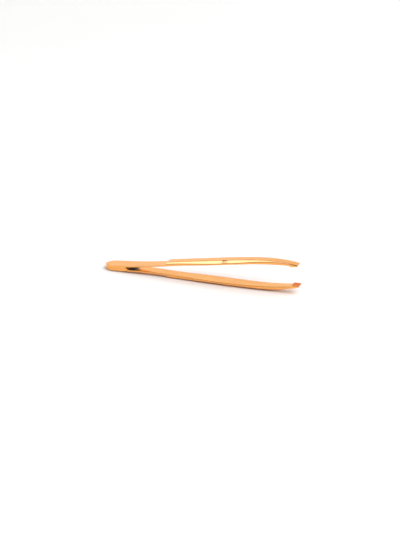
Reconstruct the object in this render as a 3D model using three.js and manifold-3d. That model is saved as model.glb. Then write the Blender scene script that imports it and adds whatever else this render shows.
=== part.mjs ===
// Stamp tongs: two sprung blades brazed to a wedge at the closed head, open at the tips.
//
// Everything is in millimetres, with +Z up. The tongs are first built about their own middle
// plane: x runs from the head end (x = 0) to the tips, y is across the blades and z is across
// the opening. One blade is designed above that plane, and the other is the same blade turned
// over. The finished tongs are then laid down on the lower blade, which is how they rest.

import * as THREE from 'three';
import { mergeVertices } from 'three/addons/utils/BufferGeometryUtils.js';
import Module from 'manifold-3d';

const wasm = await Module();
wasm.setup();

// ---------------------------------------------------------------- driving dimensions, in mm

const LENGTH = 100;             // head end to tip end
const HEAD_WIDTH = 6.7;         // widest part of the rounded head
const HEAD_ROUND_LENGTH = 4.8;  // how far the round end reaches back from the head end
const WAIST_WIDTH = 5.7;        // narrowest place, at the shoulders
const BELLY_WIDTH = 7.3;        // widest part of the grip
const TIP_WIDTH = 4.4;          // square-cut end

const SPACER_LENGTH = 11.5;     // wedge between the blades, from the head end
const HEAD_GAP = 0.9;           // between the blades' inner faces at the head end
const SHOULDER_AT = 32.7;       // where the thin spring neck meets the thick grip
const REST_START = 45;          // where the straight stretch of the grip starts; the tongs lie on it
const REST_END = 62;            // and where it ends
const BELLY_AT = 60;            // where the grip is widest
const TIP_BEND_LENGTH = 24.5;   // stretch that turns inwards, back from the tip end
const TIP_TAPER_LENGTH = 18;    // stretch that is ground thinner towards the tip

const NECK_THICKNESS = 0.8;     // leaf-spring neck
const GRIP_THICKNESS = 1.85;    // grip
const TIP_THICKNESS = 0.6;      // blade at the tip end, without its land
const SHOULDER_RAMP = 0.4;      // length of the sloped shoulder face

const LAND_LENGTH = 3.6;        // raised gripping face inside each tip
const LAND_HEIGHT = 0.6;        // its rise above the blade's inner face, at its back edge
const LAND_RAMP = 0.5;          // length of the slope up to it

const CROWN_WIDTH = 3.9;        // flat strip down the middle of the grip's outer face
const FACET_ANGLE = 35;         // slope of the long facets on both sides of it, in degrees

const HEAD_SLOPE = 1.2;         // inner face against the middle plane, in degrees: at the head,
const SHOULDER_SLOPE = 6.3;     // at the shoulder, where the bent neck is steepest,
const REST_SLOPE = 4.75;        // along the straight stretch of the grip,
const GRIP_END_SLOPE = 2.9;     // where the tip bend starts,
const TIP_SLOPE = -5.2;         // and at the tip end, where the blade turns inwards

const FLEX_GAP = 0.3;           // slit between the fixed heel and the swinging blade
const BOND_GAP = 0.3;           // braze line on each side of the wedge

// A leaf spring that is held at one end swings about the middle of its free length.
const FLEX_AT = (SPACER_LENGTH + SHOULDER_AT) / 2;

// ---------------------------------------------------------------- sampling and clearances

const CURVE_STEP = 2;           // spacing of the stations along a curved stretch
const ROUND_STEPS = 10;         // steps in a quarter of the round head end
const OVERHANG = 1;             // how far a cutting solid runs past what it cuts
const SKIN = 0.02;              // keeps a facet cutter off the face it starts from
const SLOPE_STEPS = 200;        // steps when the slope is added up into a distance

const GOLD = { color: 0xf0a050, roughness: 0.22, metalness: 1 };
const { degToRad } = THREE.MathUtils;

// ---------------------------------------------------------------- the blade's lines

// Straight-line reading of a value between stations that are sorted by x.
function valueAt(stations, x) {
  const next = stations.findIndex((station) => station.x >= x);
  if (next === 0) return stations[0].value;
  if (next < 0) return stations[stations.length - 1].value;
  const [a, b] = [stations[next - 1], stations[next]];
  return THREE.MathUtils.mapLinear(x, a.x, b.x, a.value, b.value);
}

const slopes = [
  { x: 0, value: HEAD_SLOPE },
  { x: SPACER_LENGTH, value: HEAD_SLOPE },
  { x: SHOULDER_AT, value: SHOULDER_SLOPE },
  { x: REST_START, value: REST_SLOPE },
  { x: REST_END, value: REST_SLOPE },
  { x: LENGTH - TIP_BEND_LENGTH, value: GRIP_END_SLOPE },
  { x: LENGTH, value: TIP_SLOPE },
];

// Height of the blade's inner face over the middle plane: the slope, added up from the head.
function innerHeight(x) {
  const step = x / SLOPE_STEPS;
  let height = HEAD_GAP / 2;
  for (let i = 0; i < SLOPE_STEPS; i += 1) {
    height += step * Math.tan(degToRad(valueAt(slopes, (i + 0.5) * step)));
  }
  return height;
}

// The neck is thin, the grip thick, and the tip is ground down along a parabola.
function thickness(x) {
  const ramp = THREE.MathUtils.clamp((x - SHOULDER_AT) / SHOULDER_RAMP, 0, 1);
  const taper = Math.max(0, (x - LENGTH + TIP_TAPER_LENGTH) / TIP_TAPER_LENGTH);
  const grip = GRIP_THICKNESS - (GRIP_THICKNESS - TIP_THICKNESS) * taper ** 2;
  return THREE.MathUtils.lerp(NECK_THICKNESS, grip, ramp);
}

function outerHeight(x) {
  return innerHeight(x) + thickness(x);
}

// How far one blade swings, in radians, until the back edge of its land meets the middle plane.
function closingAngle() {
  const pivotHeight = innerHeight(FLEX_AT) + NECK_THICKNESS / 2;
  const ahead = LENGTH - LAND_LENGTH - FLEX_AT;
  const above = innerHeight(LENGTH - LAND_LENGTH) - LAND_HEIGHT - pivotHeight;
  return Math.atan2(above, ahead) + Math.asin(pivotHeight / Math.hypot(ahead, above));
}

// Half the width in plan: a round head, a waist, a belly and a narrow tip, eased into each other.
function halfWidth(x) {
  const ease = (from, to, start, end) => {
    const share = THREE.MathUtils.clamp((x - start) / (end - start), 0, 1);
    return from + (to - from) * (1 - Math.cos(Math.PI * share)) / 2;
  };
  if (x < SHOULDER_AT) return ease(HEAD_WIDTH, WAIST_WIDTH, HEAD_ROUND_LENGTH, SHOULDER_AT) / 2;
  if (x < BELLY_AT) return ease(WAIST_WIDTH, BELLY_WIDTH, SHOULDER_AT, BELLY_AT) / 2;
  return ease(BELLY_WIDTH, TIP_WIDTH, BELLY_AT, LENGTH) / 2;
}

// Evenly spaced places from start to end, about CURVE_STEP apart.
function places(start, end) {
  const count = Math.max(1, Math.ceil((end - start) / CURVE_STEP));
  return Array.from({ length: count + 1 }, (_, i) => start + (end - start) * i / count);
}

// ---------------------------------------------------------------- solids

// A three.js geometry as a solid that can be cut and joined.
function solid(geometry) {
  const bare = geometry.index ? geometry.toNonIndexed() : geometry.clone();
  bare.deleteAttribute('normal');
  bare.deleteAttribute('uv');
  const merged = mergeVertices(bare, 1e-5);
  return new wasm.Manifold(new wasm.Mesh({
    numProp: 3,
    vertProperties: new Float32Array(merged.attributes.position.array),
    triVerts: new Uint32Array(merged.index.array),
  }));
}

// A solid back as a three.js geometry with flat-shaded normals.
function geometryOf(manifold) {
  const mesh = manifold.getMesh();
  const geometry = new THREE.BufferGeometry();
  geometry.setAttribute('position', new THREE.BufferAttribute(mesh.vertProperties, 3));
  geometry.setIndex(new THREE.BufferAttribute(mesh.triVerts, 1));
  const flat = geometry.toNonIndexed();
  flat.computeVertexNormals();
  return flat;
}

// An outline drawn in x and z, made into a slab that is wider than the tongs.
function slabFromSide(points) {
  const depth = Math.max(HEAD_WIDTH, BELLY_WIDTH) + 2 * OVERHANG;
  const slab = new THREE.ExtrudeGeometry(new THREE.Shape(points), { depth, bevelEnabled: false });
  slab.rotateX(Math.PI / 2);
  slab.translate(0, depth / 2, 0);
  return solid(slab);
}

// The outline seen from above, made into a column that is taller than the tongs.
function columnFromPlan() {
  const points = [];
  for (let i = 0; i <= ROUND_STEPS; i += 1) {
    const turn = (Math.PI / 2) * (i / ROUND_STEPS);
    const x = HEAD_ROUND_LENGTH * (1 - Math.cos(turn));
    points.push(new THREE.Vector2(x, HEAD_WIDTH / 2 * Math.sin(turn)));
  }
  const stretches = [HEAD_ROUND_LENGTH, SHOULDER_AT, BELLY_AT, LENGTH];
  for (let i = 1; i < stretches.length; i += 1) {
    for (const x of places(stretches[i - 1], stretches[i]).slice(1)) {
      points.push(new THREE.Vector2(x, halfWidth(x)));
    }
  }
  const far = points.slice(1).reverse().map((point) => new THREE.Vector2(point.x, -point.y));
  const tall = 2 * (Math.max(...points.map((point) => outerHeight(point.x))) + OVERHANG);
  const column = new THREE.ExtrudeGeometry(new THREE.Shape([...points, ...far]), {
    depth: tall,
    bevelEnabled: false,
  });
  column.translate(0, 0, -tall / 2);
  return solid(column);
}

const plan = columnFromPlan();

// A strip of the blade between two places, from its inner face to its outer face.
function bladeStrip(stations) {
  const inner = stations.map((x) => new THREE.Vector2(x, innerHeight(x)));
  const outer = stations.map((x) => new THREE.Vector2(x, outerHeight(x)));
  return slabFromSide([...inner, ...outer.reverse()]).intersect(plan);
}

// The raised land inside the tip. Its face tilts by the closing angle, so that the two lands
// lie flat on each other when the tongs are squeezed shut.
function landBlock() {
  const back = LENGTH - LAND_LENGTH;
  const end = LENGTH + OVERHANG;
  const backHeight = innerHeight(back) - LAND_HEIGHT;
  const endHeight = backHeight + (end - back) * Math.tan(closingAngle());
  const inside = NECK_THICKNESS / 2;
  return slabFromSide([
    new THREE.Vector2(back - LAND_RAMP, innerHeight(back - LAND_RAMP)),
    new THREE.Vector2(back, backHeight),
    new THREE.Vector2(end, endHeight),
    new THREE.Vector2(end, innerHeight(end) + inside),
    new THREE.Vector2(back - LAND_RAMP, innerHeight(back - LAND_RAMP) + inside),
  ]).intersect(plan);
}

// The long facet on one side (+1 or -1) of the grip: a triangular bar carried along the outer
// face. The bar starts at the edge of the flat crown and drops away towards the blade's side.
function facetCutter(side) {
  const line = places(SHOULDER_AT, LENGTH + OVERHANG).map(
    (x) => new THREE.Vector3(x, 0, outerHeight(Math.max(x, SHOULDER_AT + SHOULDER_RAMP))),
  );
  const path = new THREE.CatmullRomCurve3(line);
  const crown = CROWN_WIDTH / 2;
  const reach = BELLY_WIDTH / 2 + OVERHANG;
  const drop = (reach - crown) * Math.tan(degToRad(FACET_ANGLE));
  // On this path the section's x runs along -y and its y along -z.
  const section = new THREE.Shape([
    new THREE.Vector2(-side * crown, -SKIN),
    new THREE.Vector2(-side * reach, -SKIN),
    new THREE.Vector2(-side * reach, drop),
  ]);
  const steps = line.length - 1;
  return solid(new THREE.ExtrudeGeometry(section, { steps, extrudePath: path, bevelEnabled: false }));
}

// The fixed part of a blade: it is brazed to the wedge and ends in the spring neck.
function heelGeometry() {
  return geometryOf(bladeStrip(places(0, FLEX_AT - FLEX_GAP / 2)));
}

// The swinging part of a blade: rest of the neck, shoulder, faceted grip, bow and land.
function bladeGeometry() {
  const stations = [
    ...places(FLEX_AT + FLEX_GAP / 2, SHOULDER_AT),
    ...places(SHOULDER_AT + SHOULDER_RAMP, REST_START),
    ...places(REST_END, LENGTH + OVERHANG),
  ];
  const blade = bladeStrip(stations).add(landBlock());
  return geometryOf(blade.subtract(facetCutter(1)).subtract(facetCutter(-1)));
}

// The wedge that holds the two heels apart, flush with them all round the head.
function spacerGeometry() {
  const heights = [0, SPACER_LENGTH].map((x) => innerHeight(x) - BOND_GAP);
  return geometryOf(slabFromSide([
    new THREE.Vector2(0, -heights[0]),
    new THREE.Vector2(SPACER_LENGTH, -heights[1]),
    new THREE.Vector2(SPACER_LENGTH, heights[1]),
    new THREE.Vector2(0, heights[0]),
  ]).intersect(plan));
}

// ---------------------------------------------------------------- assembly

function piece(name, geometry, turnedOver = false) {
  const mesh = new THREE.Mesh(geometry, new THREE.MeshStandardMaterial(GOLD));
  mesh.name = name;
  mesh.rotation.x = turnedOver ? Math.PI : 0;
  return mesh;
}

// How far the middle plane leans when the tongs lie on the straight stretch of the lower grip.
// Where that would sink the head end, they lie on the head end and the belly instead.
function restingLean() {
  const heel = outerHeight(0);
  const leans = places(SHOULDER_AT, LENGTH).map((x) => Math.atan2(outerHeight(x) - heel, x));
  return Math.min(degToRad(REST_SLOPE), Math.max(...leans));
}

const tongs = new THREE.Group();
tongs.add(piece('head_spacer', spacerGeometry()));
tongs.add(piece('upper_heel', heelGeometry()));
tongs.add(piece('lower_heel', heelGeometry(), true));
tongs.add(piece('upper_blade', bladeGeometry()));
tongs.add(piece('lower_blade', bladeGeometry(), true));
tongs.rotation.y = -restingLean();

// The whole part stands on z = 0 with the middle of its box over the origin.
const part = new THREE.Group();
part.add(tongs);
part.updateMatrixWorld(true);
const box = new THREE.Box3().setFromObject(part, true);
const middle = box.getCenter(new THREE.Vector3());
part.position.set(-middle.x, -middle.y, -box.min.z);
part.updateMatrixWorld(true);

export default part;
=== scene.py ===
# %% [markdown]
# # Sprung stamp tongs, plated gold
# These are tongs that pick up a stamp without touching it with the fingers. Two strips of spring
# steel are brazed together at one end, the head. From there each strip runs through a thin neck,
# which bends when the tongs are squeezed, into a thicker grip with long ground facets, and bows
# inwards to a square tip. The whole tool is then polished and plated with a gold-coloured metal.
# The imported part gives the true size and the joints. It is loaded first, and the boxes of two of its
# pieces later say where the tongs stand.

import math

import bpy
import numpy as np
from mathutils import Matrix, Vector


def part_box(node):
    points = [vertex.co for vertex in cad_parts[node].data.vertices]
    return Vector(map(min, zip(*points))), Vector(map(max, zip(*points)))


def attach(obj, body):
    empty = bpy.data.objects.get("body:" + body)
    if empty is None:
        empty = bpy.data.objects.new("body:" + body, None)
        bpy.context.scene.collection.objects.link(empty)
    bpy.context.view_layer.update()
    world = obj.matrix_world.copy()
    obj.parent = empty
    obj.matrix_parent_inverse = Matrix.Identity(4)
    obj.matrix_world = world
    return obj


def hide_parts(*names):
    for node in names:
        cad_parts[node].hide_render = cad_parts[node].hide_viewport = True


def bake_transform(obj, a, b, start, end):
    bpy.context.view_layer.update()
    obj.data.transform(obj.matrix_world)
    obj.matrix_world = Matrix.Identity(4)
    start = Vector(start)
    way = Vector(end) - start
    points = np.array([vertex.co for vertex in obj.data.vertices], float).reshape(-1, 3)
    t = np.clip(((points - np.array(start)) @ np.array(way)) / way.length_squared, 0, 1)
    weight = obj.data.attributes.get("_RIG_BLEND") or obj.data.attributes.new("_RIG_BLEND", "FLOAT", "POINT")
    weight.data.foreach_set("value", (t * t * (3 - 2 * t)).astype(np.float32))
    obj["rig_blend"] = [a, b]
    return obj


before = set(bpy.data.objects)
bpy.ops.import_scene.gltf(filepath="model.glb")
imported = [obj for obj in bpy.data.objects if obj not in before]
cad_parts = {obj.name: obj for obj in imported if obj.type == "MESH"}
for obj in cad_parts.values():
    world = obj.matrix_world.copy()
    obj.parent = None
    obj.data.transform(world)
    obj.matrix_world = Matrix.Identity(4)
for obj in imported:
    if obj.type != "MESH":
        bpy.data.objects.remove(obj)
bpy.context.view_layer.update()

# %% [markdown]
# ## The sizes of one blade
# Both blades are the same strip, one turned over. A toolmaker would describe it by a few sizes:
# how wide and thick it is at each station from the head end, and how steeply it leaves the
# middle plane there. All of them are in millimetres and degrees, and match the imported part. The
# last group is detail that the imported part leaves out, such as the rounding of the edges.

# %% Sizes in millimetres
MM = 0.001

LENGTH = 100.0
HEAD_ROUND = 4.8
HEAD_HALF, WAIST_HALF, BELLY_HALF, TIP_HALF = 3.35, 2.85, 3.65, 2.2
WEDGE_LENGTH, SHOULDER, BELLY = 11.5, 32.7, 60.0
REST_START, REST_END, BEND_START = 45.0, 62.0, 75.5
HEAD_GAP = 0.9
NECK, GRIP, TIP = 0.8, 1.85, 0.6
SHOULDER_RAMP = 0.4
TAPER_LENGTH = 18.0
LAND_LENGTH, LAND_HEIGHT, LAND_RAMP = 3.6, 0.6, 0.5
CROWN_HALF, FACET_DEG = 1.95, 35.0
SLOPE_AT = [0, WEDGE_LENGTH, SHOULDER, REST_START, REST_END, BEND_START, LENGTH]
SLOPE_DEG = [1.2, 1.2, 6.3, 4.75, 4.75, 2.9, -5.2]
LEAN_DEG = 4.75

EDGE_ROUND = 0.2  # rounding left by the polishing wheel on the outer edges
SEAM_ROUND = 0.05  # the same where a blade meets the wedge
END_ROUND = 0.08  # and at the square end of the tip
GAP_SHADE_SPAN = (12.0, 13.2, 14.2, 18.5)  # where the painted shade in the gap starts, is full from, full up to, and ends
SMALLEST_FACET = 0.12  # the broken edge where no facet is ground
TRANSITION_DEG = 4.5  # how much shallower the facets are where the rear and front one meet
print("blade stations, mm:", SLOPE_AT)

# %% [markdown]
# ## The blade seen from the side
# The side view needs two curves: the inner face, which looks at the other blade, and the outer
# face. The inner face starts half the head gap away from the middle plane. Its slope is known at
# seven stations, so adding up the slope along the blade gives its height anywhere. The outer face
# is the inner one plus the thickness. Corners such as the shoulder aren't knife sharp on a
# polished tool, so a ramp with soft ends is used for them instead of a jump.

# %% Height of the faces along the blade
fine_x = np.linspace(0, LENGTH, 4001)
fine_slope = np.tan(np.radians(np.interp(fine_x, SLOPE_AT, SLOPE_DEG)))
fine_rise = np.diff(fine_x) * (fine_slope[1:] + fine_slope[:-1]) / 2
fine_height = HEAD_GAP / 2 + np.concatenate(([0.0], np.cumsum(fine_rise)))


def face_height(x):
    """Height of the plain inner face: the slope added up from the head end."""
    return np.interp(x, fine_x, fine_height)


def soft_ramp(t, softness=0.1):
    """0 before t = 0, 1 after t = 1 and straight between, with both corners rounded: half of
    1 + |t| - |t - 1|, where |v| is taken as the root of v squared plus softness squared."""
    return (1 + np.hypot(t, softness) - np.hypot(t - 1, softness)) / 2


def grip_thickness(x):
    """Thickness of the grip: constant, then ground down along a parabola to the tip."""
    taper = np.clip((x - LENGTH + TAPER_LENGTH) / TAPER_LENGTH, 0, None)
    return GRIP - (GRIP - TIP) * taper**2


def thickness(x):
    """Thickness of the blade: the thin neck, which ramps up to the grip at the shoulder."""
    ramp = soft_ramp((x - SHOULDER) / SHOULDER_RAMP)
    return NECK + (grip_thickness(x) - NECK) * ramp


pivot_x = (WEDGE_LENGTH + SHOULDER) / 2
pivot_z = float(face_height(pivot_x)) + NECK / 2
land_x = LENGTH - LAND_LENGTH
land_z = float(face_height(land_x)) - LAND_HEIGHT
ahead, above = land_x - pivot_x, land_z - pivot_z
closing = math.atan2(above, ahead) + math.asin(pivot_z / math.hypot(ahead, above))
print("each blade closes by", round(math.degrees(closing), 3), "degrees")


def inner_z(x):
    """Inner face with its land: near the tip it steps in by the land's height. The land's own
    line is straight and tilted by the closing angle, so that two lands meet flat."""
    land_line = land_z + (x - land_x) * math.tan(closing)
    share = soft_ramp((x - land_x + LAND_RAMP) / LAND_RAMP)
    return face_height(x) + (land_line - face_height(x)) * share


def outer_z(x):
    """Outer face: the plain inner face plus the thickness."""
    return face_height(x) + thickness(x)


# %% [markdown]
# ## The blade seen from above
# From above the blade is a long leaf: a round head, a waist at the shoulders, a belly where the
# fingers press, and a narrow tip. Each widening follows half a cosine wave, so that the outline
# has no corners. The flat strip down the middle of the outer face, the crown, keeps its width all
# along the grip, and what lies beside it is ground off as a long sloping facet.

# %% Width of the blade and of its crown


def eased(x, start, end, before, after):
    """Half a cosine wave from the value before to the value after, between start and end."""
    share = np.clip((x - start) / (end - start), 0, 1)
    return before + (after - before) * (1 - np.cos(np.pi * share)) / 2


def half_width(x):
    """Half the width behind the round head: head to waist, waist to belly, belly to tip."""
    to_waist = eased(x, HEAD_ROUND, SHOULDER, HEAD_HALF, WAIST_HALF)
    to_belly = eased(x, SHOULDER, BELLY, WAIST_HALF, BELLY_HALF)
    to_tip = eased(x, BELLY, LENGTH, BELLY_HALF, TIP_HALF)
    return np.where(x < SHOULDER, to_waist, np.where(x < BELLY, to_belly, to_tip))


def facet_slope(x):
    """Tangent of the facets' angle. It is shallower for a few millimetres past the belly, where
    the rear facet was ground from one end and the front facet from the other."""
    meeting = np.interp(x, [60.5, 63.0, 64.0, 66.5], [0, 1, 1, 0])
    return np.tan(np.radians(FACET_DEG - TRANSITION_DEG * meeting * meeting * (3 - 2 * meeting)))


def facet_width(x, half):
    """Width of the facet in plan: what is left beside the crown. On the shoulder's ramp, where
    the blade is thinner, the facet plane is met further out, so less is left. It never gets
    narrower than the broken edge; the larger of the two is taken with a soft corner."""
    missing = grip_thickness(x) - thickness(x)
    left = half - CROWN_HALF - missing / facet_slope(x)
    apart = left - SMALLEST_FACET
    return SMALLEST_FACET + (apart + np.sqrt(apart * apart + 0.05**2)) / 2


print("half width at the belly, mm:", float(half_width(np.array(BELLY))))

# %% [markdown]
# ## Stations round the outline
# The surface is a profile carried along a path. The path is the outline of the blade seen from
# above: from the tip along one side, round the head and back along the other side. At each
# station of the path the profile runs from the middle of the inner face, round the blade's edge,
# to the middle of the outer face. On the straight sides the profiles stand square to the blade,
# and at the round head they fan out from one point, so that the edge keeps its rounding there.
# Stations lie a millimetre apart, and much closer where something turns quickly.

# %% Stations along one side, from the nose of the head to the tip


def outline(last, close_spots=()):
    """Half the outline, from the nose to x = last. Returns for each station where the outline
    and the middle line are met: edge x, edge y and middle x. The nose is a quarter ellipse whose
    profiles all start from its centre; behind it both lie at the same x."""
    turn = np.radians(np.linspace(0, 90, 25))
    fan_x = HEAD_ROUND * (1 - np.cos(turn))
    fan_y = HEAD_HALF * np.sin(turn)
    spots = [np.arange(HEAD_ROUND, last, 1.0)[1:], [last]]
    spots += [np.linspace(a, b, n) for a, b, n in close_spots]
    rows = np.unique(np.round(np.concatenate(spots), 4))
    rows = rows[(rows > HEAD_ROUND) & (rows <= last)]
    edge_x = np.concatenate((fan_x, rows))
    edge_y = np.concatenate((fan_y, half_width(rows)))
    middle_x = np.concatenate((np.full_like(fan_x, HEAD_ROUND), rows))
    return edge_x, edge_y, middle_x


close_spots = [
    (SHOULDER - 0.4, SHOULDER + SHOULDER_RAMP + 0.4, 31),
    (land_x - LAND_RAMP - 0.4, land_x + 0.4, 31),
    (60.0, 68.0, 33),
]
blade_outline = outline(LENGTH - END_ROUND, close_spots)
print("stations on each side:", len(blade_outline[0]))

# %% [markdown]
# ## The profile of the edge
# At one station the profile is a chain of straight runs and rounded corners: inner face, corner,
# vertical side, corner, sloping facet, corner, crown. Each corner is a quadratic arc: it starts
# a little before the corner, is pulled towards it, and ends a little after it. Two more points
# stand just inside both ends of each straight run. They keep the shading of the flat faces flat,
# which matters a great deal on polished metal, where a bent reflection shows at once.

# %% Profile points for all stations at once
ARC = np.linspace(0, 1, 6)[:, None]
HOLD = 0.12  # how far inside a straight run its two holding points stand
FACET_ROWS = (11, 6, 2, 6, 3)  # profile points before, at the start of, on, at the end of, after
INNER_ROWS = (3, 25)  # profile points on the inner face, and all the others


def arc(before, corner, after):
    """Quadratic arc: (1-t)^2 before + 2 t (1-t) corner + t^2 after, for t from 0 to 1."""
    return (1 - ARC) ** 2 * before + 2 * ARC * (1 - ARC) * corner + ARC**2 * after


def between(first, second, shares):
    """Points on the straight run from first to second, at the given shares of it."""
    shares = np.array(shares)[:, None]
    return first + (second - first) * shares


def blade_profile(edge_x, edge_y, middle_x, inset=0.0):
    """Points of the blade's edge profile, one column for each station. The distance from the outline is
    carried along with the height; the distance then says how far the point has moved from the outline
    towards the middle line. Returns x, y, z, and four marks from 0 to 1 for the colouring: corner, facet,
    start of the gap where shade is painted, and land."""
    half = np.hypot(edge_x - middle_x, edge_y)
    seam = EDGE_ROUND + (SEAM_ROUND - EDGE_ROUND) * (edge_x < WEDGE_LENGTH)
    facet = facet_width(edge_x, edge_y)
    slope = facet_slope(edge_x)
    run = facet * np.hypot(1, slope)
    soft = np.minimum(EDGE_ROUND, 0.3 * run)
    soft_across, soft_down = soft / np.hypot(1, slope), soft * slope / np.hypot(1, slope)
    low, high = inner_z(edge_x) + inset, outer_z(edge_x) - inset
    brow = high - facet * slope
    # Distance from the outline, and height, of every point along the profile.
    inner_start, inner_end = seam, low + seam
    side_end = brow - EDGE_ROUND
    across = [
        between(half, inner_start, [0, 0.5, 1 - HOLD / 2]),
        arc(inner_start, 0, 0),
        between(0 * half, 0 * half, [HOLD, 1 - HOLD]),
        arc(0, 0, soft_across),
        between(soft_across, facet - soft_across, [HOLD, 1 - HOLD]),
        arc(facet - soft_across, facet, facet + soft),
        between(facet + soft, half, [HOLD / 2, 0.5, 1]),
    ]
    across = np.concatenate(across)
    x = edge_x + (middle_x - edge_x) * across / half
    y = edge_y * (1 - across / half)
    flat_low, flat_high = inner_z(x) + inset, outer_z(x) - inset
    heights = [
        flat_low[:3],
        arc(low, low, inner_end),
        between(inner_end, side_end, [HOLD, 1 - HOLD]),
        arc(side_end, brow, brow + soft_down),
        between(brow + soft_down, high - soft_down, [HOLD, 1 - HOLD]),
        arc(high - soft_down, high, high),
        flat_high[-3:],
    ]
    z = np.concatenate(heights)
    bulge = 4 * ARC * (1 - ARC) * np.ones_like(half)
    flat = np.zeros_like(half)
    corner = np.vstack([[flat] * 3, bulge, [flat] * 2, bulge, [flat] * 2, bulge, [flat] * 3])
    facet_part = np.repeat([0, 0.5, 1, 0.5, 0], FACET_ROWS)[:, None] * np.ones_like(half)
    inner_part = np.repeat([1.0, 0.0], INNER_ROWS)[:, None]
    # Where the painted shade at the start of the gap between the blades goes.
    in_gap = inner_part * np.interp(x, GAP_SHADE_SPAN, [0, 1, 1, 0])
    on_land = inner_part * np.interp(x, [land_x - 0.1, land_x], [0, 1])
    return x, y, z, corner, facet_part, in_gap, on_land


# %% [markdown]
# ## From one side to a whole closed strip
# The other side of the blade is the same grid with y turned round. Laid one after the other, the
# two halves make one long sheet that runs round the outline, and its last station joins on to its
# first one: that closing strip is the square end of the tip. The sheet's two borders lie on the
# middle lines of the inner and outer face and fold shut there, so points in the same place are
# welded. The end of the tip gets a few more stations that pull in and forwards, a rounded rim.

# %% Build the grid of a blade


def add_rim(grid, edge):
    """Adds stations past the last one that round the end of the tip: each is the last profile
    pulled in by r (1 - cos a) and moved on by r sin a, for a up to a right angle."""
    turn = np.radians([22.5, 45.0, 67.5, 90.0])
    edge_x, edge_y, _ = (column[-1] for column in edge)
    inset = END_ROUND * (1 - np.cos(turn))
    at = np.full(4, edge_x)
    rim = blade_profile(at, edge_y - inset, at, inset)
    rim = (rim[0] + END_ROUND * np.sin(turn), *rim[1:])
    return [np.concatenate((a, b), axis=1) for a, b in zip(grid, rim)]


def both_sides(grid):
    """The half grid and its mirror image as one sheet that runs tip, side, nose, side, tip."""
    x, y, z, *rest = grid
    there = [part[:, ::-1] for part in (x, y, z, *rest)]
    back = [part[:, 1:] for part in (x, -y, z, *rest)]
    return [np.concatenate(pair, axis=1).T for pair in zip(there, back)]


half_grid = add_rim(blade_profile(*blade_outline), blade_outline)
blade_grid = both_sides(half_grid)
print("grid of one blade:", blade_grid[0].shape)

# %% [markdown]
# ## From a grid to a mesh
# Blender wants a list of points and a list of faces. Each face joins four neighbours in the grid.
# Where points have been welded a face may have two corners in one place; the doubled corner is
# dropped and the face becomes a triangle. To know whether the faces look outwards, the volume is
# added up from them: if it comes out negative, every face is turned round.
# Each point also remembers where it sits on the straightened strip, in millimetres. The finish
# follows that, so grain and smudges stay on the metal when the neck bends.

# %% Turn a grid into a mesh


def weld(points):
    """Points in the same place become one: which points are kept, and where each one went."""
    keys = np.round(points / MM, 4) + 0.0
    _, kept, moved_to = np.unique(keys, axis=0, return_index=True, return_inverse=True)
    return kept, moved_to.reshape(-1)


def grid_faces(rows, columns):
    """The four corners of each face of a sheet whose last row joins on to its first one."""
    r, c = np.meshgrid(np.arange(rows), np.arange(columns - 1), indexing="ij")
    after = (r + 1) % rows
    corners = [r * columns + c, r * columns + c + 1, after * columns + c + 1, after * columns + c]
    return np.stack(corners, axis=-1).reshape(-1, 4)


def signed_volume(points, faces):
    """Volume inside the faces, by the divergence theorem on the fan of triangles of each."""
    a, b, c, d = (points[faces[:, k]] for k in range(4))
    part = np.einsum("ij,ij->i", a, np.cross(b, c)) + np.einsum("ij,ij->i", a, np.cross(c, d))
    return part.sum() / 6


MARKS = ("near_edge", "on_facet", "in_gap", "on_land")


def mesh_from_grid(name, points, shape, strip, marks, flat_end=True):
    """A closed mesh from a sheet of points. The last row of faces, which closes the sheet, is
    shaded flat if it is a square end."""
    kept, moved_to = weld(points)
    faces = moved_to[grid_faces(*shape)]
    closing_row = np.arange(len(faces)) >= len(faces) - (shape[1] - 1)
    if signed_volume(points[kept], faces) < 0:
        faces = faces[:, ::-1]
    distinct = faces != np.roll(faces, -1, axis=1)
    whole = distinct.sum(axis=1) >= 3
    faces, distinct, closing_row = faces[whole], distinct[whole], closing_row[whole]
    counts = distinct.sum(axis=1)
    mesh = bpy.data.meshes.new(name)
    mesh.vertices.add(len(kept))
    mesh.vertices.foreach_set("co", points[kept].astype(np.float32).ravel())
    mesh.loops.add(int(counts.sum()))
    mesh.loops.foreach_set("vertex_index", faces[distinct].astype(np.int32))
    mesh.polygons.add(len(faces))
    starts = np.concatenate(([0], np.cumsum(counts)[:-1]))
    mesh.polygons.foreach_set("loop_start", starts.astype(np.int32))
    mesh.update(calc_edges=True)
    mesh.polygons.foreach_set("use_smooth", ~(closing_row & flat_end))
    on_strip = mesh.attributes.new("strip_mm", "FLOAT_VECTOR", "POINT")
    on_strip.data.foreach_set("vector", strip[kept].astype(np.float32).ravel())
    for mark_name, mark in zip(MARKS, marks):
        layer = mesh.attributes.new(mark_name, "FLOAT", "POINT")
        layer.data.foreach_set("value", mark.reshape(-1)[kept].astype(np.float32))
    piece = bpy.data.objects.new(name, mesh)
    bpy.context.scene.collection.objects.link(piece)
    broken = mesh.validate()
    print(name, len(kept), "points", len(faces), "faces", "repaired" if broken else "sound")
    return piece


# %% [markdown]
# ## Where the tongs lie
# The blades were worked out in the tongs' own frame, with the middle plane at z = 0. On a table
# the tongs lie on the straight stretch of the lower grip, so the whole frame leans by the slope of
# that stretch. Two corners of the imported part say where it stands: the nose of the upper heel and
# the lowest face of the lower blade. Nothing is moved by eye.

# %% Place the strips in the part's frame
lean = math.radians(LEAN_DEG)
heel_low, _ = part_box("upper_heel")
blade_low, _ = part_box("lower_blade")
nose_height = float(face_height(0.0)) + NECK
rest_height = float(face_height(REST_START)) + GRIP
shift_x = heel_low.x / MM + nose_height * math.sin(lean)
shift_z = blade_low.z / MM - (REST_START * math.sin(lean) - rest_height * math.cos(lean))
print("frame of the tongs starts at, mm:", round(shift_x, 3), round(shift_z, 3))


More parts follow.
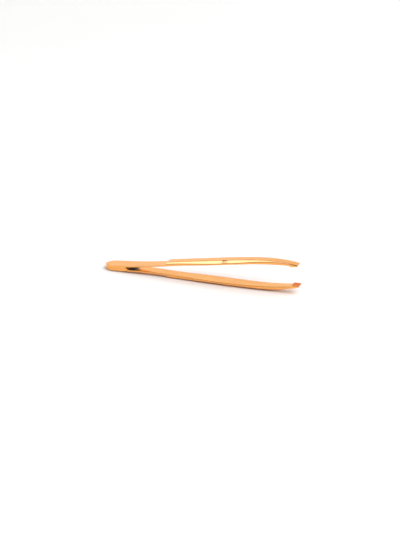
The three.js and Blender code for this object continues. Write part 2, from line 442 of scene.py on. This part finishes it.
def placed(x, y, z):
    """Turns the tongs' frame by the lean, moves it into place, and changes to metres."""
    along = x * math.cos(lean) - z * math.sin(lean) + shift_x
    up = x * math.sin(lean) + z * math.cos(lean) + shift_z
    return np.stack((along, y, up), axis=-1).reshape(-1, 3) * MM


def make_blade(name, side):
    """The blade above (+1) or below (-1) the middle plane, from the same grid."""
    x, y, z, *marks = blade_grid
    strip = np.stack((x, y, z - face_height(x)), axis=-1).reshape(-1, 3)
    points = placed(x, y, side * z)
    return mesh_from_grid(name, points, x.shape, strip + [0, 0, 20.0 * side], marks)


upper = make_blade("upper_blade_strip", 1)
lower = make_blade("lower_blade_strip", -1)

# %% [markdown]
# ## The head wedge
# Between the two heels sits a small steel wedge. It is brazed in, and then the head is ground
# round as one, so from outside only a hairline can be seen. Its top and bottom follow the blades'
# inner faces. At its back the braze has crept a little way along both blades, as molten metal
# does, and leaves a hollow face between them: x = end + creep * height share to the fourth power.

# %% Build the wedge
BRAZE_CREEP = 0.45
WEDGE_FLUSH = 0.02  # how far its side stays back from the blades' sides
HAIR = 0.01  # and its faces from theirs


def wedge_grid():
    """A profile from the middle of the bottom face over the side to the middle of the top face,
    carried round the head's outline. The last stations bend with the hollow back."""
    edge_x, edge_y, middle_x = outline(WEDGE_LENGTH, [(WEDGE_LENGTH - 0.5, WEDGE_LENGTH, 6)])
    half = np.hypot(edge_x - middle_x, edge_y)
    level = np.sin(np.linspace(-np.pi / 2, np.pi / 2, 15))[:, None]
    inward = [between(half, WEDGE_FLUSH + 0 * half, [0, 0.5, 0.95])]
    inward += [np.full((15, len(half)), WEDGE_FLUSH)]
    inward += [between(WEDGE_FLUSH + 0 * half, half, [0.05, 0.5, 1])]
    inward = np.concatenate(inward)
    level = np.concatenate((-np.ones((3, 1)), level, np.ones((3, 1)))) * np.ones_like(half)
    x = edge_x + (middle_x - edge_x) * inward / half
    y = edge_y * (1 - inward / half)
    back = np.clip((x - WEDGE_LENGTH + 0.5) / 0.5, 0, 1)
    x = x + back * BRAZE_CREEP * level**4
    z = level * (face_height(x) - HAIR)
    none = np.zeros_like(x)
    edge = np.abs(level) ** 6 * (inward < 0.3)
    # Painted shade, a quarter as deep, on the back of the wedge at the start of the gap.
    wedge_gap_shade = 0.25 * np.clip((x - WEDGE_LENGTH + 0.35) / 0.3, 0, 1)
    return both_sides((x, y, z, edge, none, wedge_gap_shade, none))


wx, wy, wz, *wedge_marks = wedge_grid()
wedge = mesh_from_grid(
    "head_wedge",
    placed(wx, wy, wz),
    wx.shape,
    np.stack((wx, wy, wz), axis=-1).reshape(-1, 3),
    wedge_marks,
    flat_end=False,
)

# %% [markdown]
# ## How the pieces move
# Squeezing the tongs bends the two thin necks. Each blade is one strip, so its mesh has to bend
# as well: behind the wedge it follows the head, past the shoulder it follows the swinging blade,
# and in between it turns a little more with each millimetre, as a leaf spring does. The wedge
# rides on the head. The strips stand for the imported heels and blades, which are hidden.

# %% Tie the pieces to the bodies


def neck_point(x, side):
    """A point in the middle of the neck, in the part's frame."""
    height = float(face_height(x)) + NECK / 2
    return tuple(placed(np.array(x), np.array(0.0), np.array(side * height))[0])


for strip_piece, body, heel, side in (
    (upper, "upper_blade", "upper_heel", 1),
    (lower, "lower_blade", "lower_heel", -1),
):
    start, end = neck_point(WEDGE_LENGTH, side), neck_point(SHOULDER, side)
    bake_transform(strip_piece, "head", body, start=start, end=end)
    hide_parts(heel, body)
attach(wedge, "head")
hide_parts("head_spacer")

# %% [markdown]
# ## Writing shaders as sums
# A finish is built from nodes, and node maths is easier to read as an expression. The small
# class below wraps the output of a node. Adding or multiplying it adds a Math node, also when the
# number comes first, as in 1 - mask. Everything that isn't plain maths comes from one method,
# which takes the kind of node, its settings, and what goes into its sockets.

# %% A socket that can be reckoned with


class Wire:
    """An output socket in a node tree."""

    def __init__(self, tree, socket):
        self.tree, self.socket = tree, socket

    def math(self, operation, first, second):
        return add_node(self.tree, "ShaderNodeMath", {"operation": operation}, {0: first, 1: second})

    def __add__(self, other):
        return self.math("ADD", self, other)

    def __sub__(self, other):
        return self.math("SUBTRACT", self, other)

    def __rsub__(self, other):
        return self.math("SUBTRACT", other, self)

    def __mul__(self, other):
        return self.math("MULTIPLY", self, other)

    def __pow__(self, other):
        return self.math("POWER", self, other)

    __radd__, __rmul__ = __add__, __mul__


def add_node(tree, kind, settings=None, sockets=None, output=0):
    """Adds a node of a kind. Its settings are set first, then each socket gets a value or a
    wire. A ramp's stops are the setting "stops". Returns one output as a wire."""
    node = tree.nodes.new(kind)
    for key, value in (settings or {}).items():
        if key == "stops":
            for element, (place, colour) in zip(node.color_ramp.elements, value):
                element.position, element.color = place, colour
        else:
            setattr(node, key, value)
    for key, value in (sockets or {}).items():
        if isinstance(value, Wire):
            tree.links.new(value.socket, node.inputs[key])
        else:
            node.inputs[key].default_value = value
    return Wire(tree, node.outputs[output]) if node.outputs else None


# %% [markdown]
# ## The plating
# The metal is steel that was polished and plated in a warm gold. Seen close it is not a perfect
# mirror: the polishing wheel left a fine grain along the blade, the surface is very slightly
# wavy, handling has dulled it in cloudy patches, and the plating is a little paler where the
# edges have rubbed. All four come from noise that is laid on the straightened strip: the grain
# is the same noise drawn out along the blade. A thin clear lacquer lies over it all.
# Three places are coloured apart. The facets are paler, which is a painted highlight; the lands are deeper
# and duller; and the start of the gap is dark, which is painted shade. How deep these go is a choice made
# for the look.

# %% The gold plating
GOLD = (0.93, 0.43, 0.115, 1)
# Paler gold: real wear on the rubbed edges, and a painted highlight on the facets.
PALE_GOLD_WEAR_AND_HIGHLIGHT = (0.95, 0.49, 0.26, 1)
DEEP_GOLD = (0.88, 0.36, 0.085, 1)
LAND_GOLD = (0.97, 0.25, 0.035, 1)
# Painted shade for the dark start of the gap between the blades.
PAINTED_GAP_SHADE = (0.02, 0.006, 0.002, 1)


def stretched_noise(tree, place, stretch, detail=2.0, roughness=0.5):
    """Noise on a place in millimetres, scaled by a different amount along, across and up."""
    scaled = add_node(tree, "ShaderNodeVectorMath", {"operation": "MULTIPLY"}, {0: place, 1: stretch})
    sockets = {"Vector": scaled, "Scale": 1.0, "Detail": detail, "Roughness": roughness}
    return add_node(tree, "ShaderNodeTexNoise", {"noise_dimensions": "3D"}, sockets)


def smooth_step(tree, value, low, high):
    """0 below low, 1 above high, and an S-curve between."""
    settings = {"interpolation_type": "SMOOTHSTEP", "clamp": True}
    return add_node(
        tree, "ShaderNodeMapRange", settings, {"Value": value, "From Min": low, "From Max": high}
    )


def mix_colour(tree, share, first, second):
    """A colour that goes from first to second as the share goes from 0 to 1."""
    return add_node(
        tree, "ShaderNodeMix", {"data_type": "RGBA"}, {0: share, 6: first, 7: second}, output=2
    )


def plating(name, grain_depth, dullness):
    """The gold plating. The grain's depth is in metres and the dullness is added roughness."""
    finish = bpy.data.materials.new(name)
    finish.use_nodes = True
    tree = finish.node_tree
    tree.nodes.clear()
    place = add_node(tree, "ShaderNodeAttribute", {"attribute_name": "strip_mm"}, output=1)
    edge, facet, gap, land = (
        add_node(tree, "ShaderNodeAttribute", {"attribute_name": mark}, output=2) for mark in MARKS
    )
    grain = stretched_noise(tree, place, (0.35, 9.0, 9.0), detail=3.0)
    scratches = smooth_step(tree, stretched_noise(tree, place, (0.12, 22.0, 22.0)), 0.66, 0.74)
    waves = stretched_noise(tree, place, (0.30, 0.55, 0.55), detail=1.0)
    clouds = smooth_step(tree, stretched_noise(tree, place, (0.11, 0.2, 0.2), 5.0, 0.6), 0.42, 0.68)
    rubbed = edge * smooth_step(tree, stretched_noise(tree, place, (0.5, 1.0, 1.0), 3.0), 0.45, 0.7)
    tone = mix_colour(tree, clouds * 0.35, GOLD, DEEP_GOLD)
    tone = mix_colour(tree, rubbed * 0.4, tone, PALE_GOLD_WEAR_AND_HIGHLIGHT)
    # Painted highlight: the facets are made paler to stand in for their bright reflection.
    tone = mix_colour(tree, facet * 0.85, tone, PALE_GOLD_WEAR_AND_HIGHLIGHT)
    tone = mix_colour(tree, land, tone, LAND_GOLD)
    # Painted shade at the start of the gap between the blades: dark, duller and less metallic, broken up by
    # the grain.
    gap_shade_mask = smooth_step(tree, gap * 1.3 + grain * 0.4 - 0.2, 0.1, 0.95)
    tone = mix_colour(tree, gap_shade_mask, tone, PAINTED_GAP_SHADE)
    roughness = 0.11 + dullness + clouds * 0.06 + grain * 0.05 + scratches * 0.05
    roughness = roughness + land * 0.25 + gap_shade_mask * 0.4
    height = grain * 0.6 + scratches * -0.5 + waves * 6.0
    bump = {"Strength": 1.0, "Distance": grain_depth, "Height": height}
    sockets = {
        "Base Color": tone,
        "Metallic": 1 - gap_shade_mask * 0.9,
        "Roughness": roughness,
        "Coat Weight": 0.08,
        "Coat Roughness": 0.08,
        "Coat IOR": 1.5,
        "Normal": add_node(tree, "ShaderNodeBump", {}, bump),
    }
    shaded = add_node(tree, "ShaderNodeBsdfPrincipled", {}, sockets)
    add_node(tree, "ShaderNodeOutputMaterial", {}, {"Surface": shaded})
    return finish


blade_finish = plating("gold_plating", 2.0e-6, 0.0)
wedge_finish = plating("gold_plating_over_braze", 4.0e-6, 0.05)
for piece, finish in ((upper, blade_finish), (lower, blade_finish), (wedge, wedge_finish)):
    piece.data.materials.append(finish)
print("finishes:", [m.name for m in bpy.data.materials])

# %% [markdown]
# ## Floor
# The tongs lie on a plain pale board, so large that its edge is never seen. It is matt, with
# the faintest mottling, and bright enough to burn out to white under the studio light.

# %% The floor
FLOOR_SIZE = 8.0
floor_mesh = bpy.data.meshes.new("floor")
h = FLOOR_SIZE / 2
floor_mesh.from_pydata([(-h, -h, 0), (h, -h, 0), (h, h, 0), (-h, h, 0)], [], [(0, 1, 2, 3)])
floor = bpy.data.objects.new("floor", floor_mesh)
bpy.context.scene.collection.objects.link(floor)
board = bpy.data.materials.new("pale_board")
board.use_nodes = True
board_tree = board.node_tree
board_tree.nodes.clear()
spot = add_node(board_tree, "ShaderNodeTexCoord", {}, output=3)
mottle = add_node(board_tree, "ShaderNodeTexNoise", {}, {"Vector": spot, "Scale": 14.0, "Detail": 4.0})
board_tone = mix_colour(board_tree, mottle, (0.90, 0.895, 0.89, 1), (0.94, 0.935, 0.93, 1))
board_look = add_node(
    board_tree, "ShaderNodeBsdfPrincipled", {}, {"Base Color": board_tone, "Roughness": 0.6}
)
add_node(board_tree, "ShaderNodeOutputMaterial", {}, {"Surface": board_look})
floor_mesh.materials.append(board)
print("floor,", FLOOR_SIZE, "m square")

# %% [markdown]
# ## Light
# Polished metal shows what stands round it, so the light is mostly a matter of surroundings: a
# backdrop that is bright low down behind the tongs, and a studio that is dim everywhere else.
# The flat faces mirror the backdrop, and the dim part gives the rounded edges their fine dark
# lines. One large soft lamp overhead, a little to the left, fills the long facets. Two more stand
# high on the right. Seen from the camera no flat face mirrors them, so there they only light the
# floor; from behind and from the head end they do show, as bright crowns.

# %% White studio and three soft lamps
scene = bpy.context.scene
studio = bpy.data.worlds.new("white_studio")
scene.world = studio
studio.use_nodes = True
sky = studio.node_tree
sky.nodes.clear()
look = add_node(sky, "ShaderNodeTexCoord", {}, output=0)
split = sky.nodes.new("ShaderNodeSeparateXYZ")
sky.links.new(look.socket, split.inputs[0])
dir_y, dir_z = (Wire(sky, split.outputs[axis]) for axis in ("Y", "Z"))
DIM, BACKDROP_GAIN = 0.16, 0.92
BACKDROP_SIDE, BACKDROP_TOP = (0.1, 0.3), (0.46, 0.56)
low_down = 1 - smooth_step(sky, dir_z, *BACKDROP_TOP)
strength = DIM + smooth_step(sky, dir_y, *BACKDROP_SIDE) * low_down * BACKDROP_GAIN
glow = add_node(sky, "ShaderNodeBackground", {}, {"Color": (1, 1, 1, 1), "Strength": strength})
add_node(sky, "ShaderNodeOutputWorld", {}, {"Surface": glow})

LAMPS = {  # name: (direction, distance in m, size across and along in m, radiance)
    "soft_lamp_overhead": ((-0.44, -0.05, 0.88), 1.3, (0.42, 0.95), 2.1),
    "soft_lamp_far_side": ((0.50, 0.30, 0.80), 2.6, (1.8, 1.6), 3.8),
    "soft_lamp_near_side": ((0.52, -0.42, 0.75), 2.6, (1.8, 1.6), 5.4),
}
for lamp_name, (direction, distance, size, radiance) in LAMPS.items():
    lamp_data = bpy.data.lights.new(lamp_name, "AREA")
    lamp_data.shape = "RECTANGLE"
    lamp_data.size, lamp_data.size_y = size
    lamp_data.energy = radiance * math.pi * size[0] * size[1]
    lamp = bpy.data.objects.new(lamp_name, lamp_data)
    lamp.location = Vector(direction).normalized() * distance
    lamp.rotation_mode = "QUATERNION"
    lamp.rotation_quaternion = lamp.location.to_track_quat("Z", "Y")
    scene.collection.objects.link(lamp)
    print(lamp_name, round(lamp_data.energy, 2), "W")

# %% [markdown]
# ## Camera
# The camera looks down at 24 degrees from a little to the right of square on, from far away
# with a long lens, so that the tongs lie small in the middle of a tall white frame. It is rolled
# by half a degree, as a camera held in the hand is.

# %% Camera
CAMERA_UP, CAMERA_ROUND, CAMERA_ROLL = (math.radians(d) for d in (23.96, 19.28, -0.49))
CAMERA_DISTANCE = 1.193
LOOK_AT = Vector((0.0008256, 0.0, 0.0053846))
LENS_MM = 165.37711
CAMERA_SHIFT = (-0.0065666, 0.0075047)  # as shares of the frame's longer side

back = Vector(
    (
        math.sin(CAMERA_ROUND) * math.cos(CAMERA_UP),
        -math.cos(CAMERA_ROUND) * math.cos(CAMERA_UP),
        math.sin(CAMERA_UP),
    )
)
camera_data = bpy.data.cameras.new("camera")
camera_data.lens = LENS_MM
camera_data.shift_x, camera_data.shift_y = CAMERA_SHIFT
camera_data.clip_start, camera_data.clip_end = 0.01, 50
camera = bpy.data.objects.new("camera", camera_data)
turned = (-back).to_track_quat("-Z", "Y").to_matrix().to_4x4()
place_at = Matrix.Translation(LOOK_AT + back * CAMERA_DISTANCE)
camera.matrix_world = place_at @ turned @ Matrix.Rotation(CAMERA_ROLL, 4, "Z")
scene.collection.objects.link(camera)
scene.camera = camera
scene.view_settings.view_transform = "Standard"
print("lens", round(camera_data.lens, 1), "mm")

# %% [markdown]
# ## Last step
# The scene is brought up to date. The box of the finished model should agree with the box of the imported
# part to a small fraction of a millimetre, since only edges were rounded.

# %% Bring the scene up to date
bpy.context.view_layer.update()
